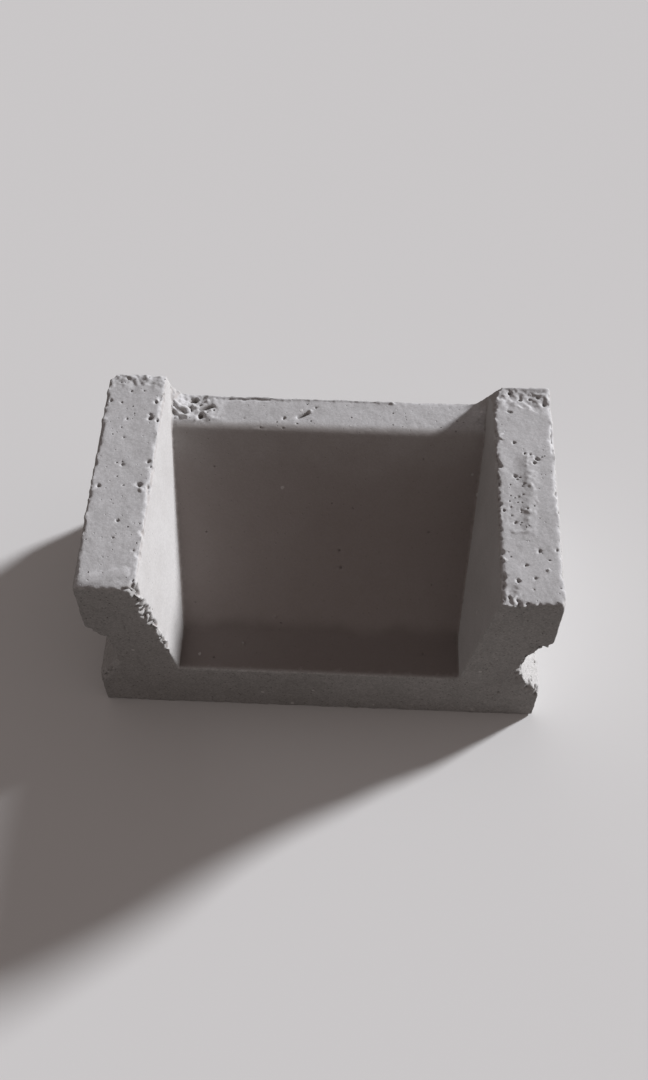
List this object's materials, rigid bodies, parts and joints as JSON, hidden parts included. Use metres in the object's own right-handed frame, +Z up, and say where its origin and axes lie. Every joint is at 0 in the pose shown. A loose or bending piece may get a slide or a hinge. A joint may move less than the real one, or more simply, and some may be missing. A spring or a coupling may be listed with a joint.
{
  "type": "concrete block",
  "caption": "Cast concrete block with two full-height legs, a sloping slab between them, a low saddle at one end and a groove along each side.",
  "frame": {"origin": "middle of the underside of the block", "axes": "+X along the wall across the two legs, +Y through the wall towards the web end, +Z up"},
  "size_m": [0.4, 0.23, 0.2],
  "materials": {
    "concrete": "matt cast concrete, fine grained with small pits"
  },
  "bodies": {
    "root": {"concrete_block": "concrete"}
  },
  "joints": []
}
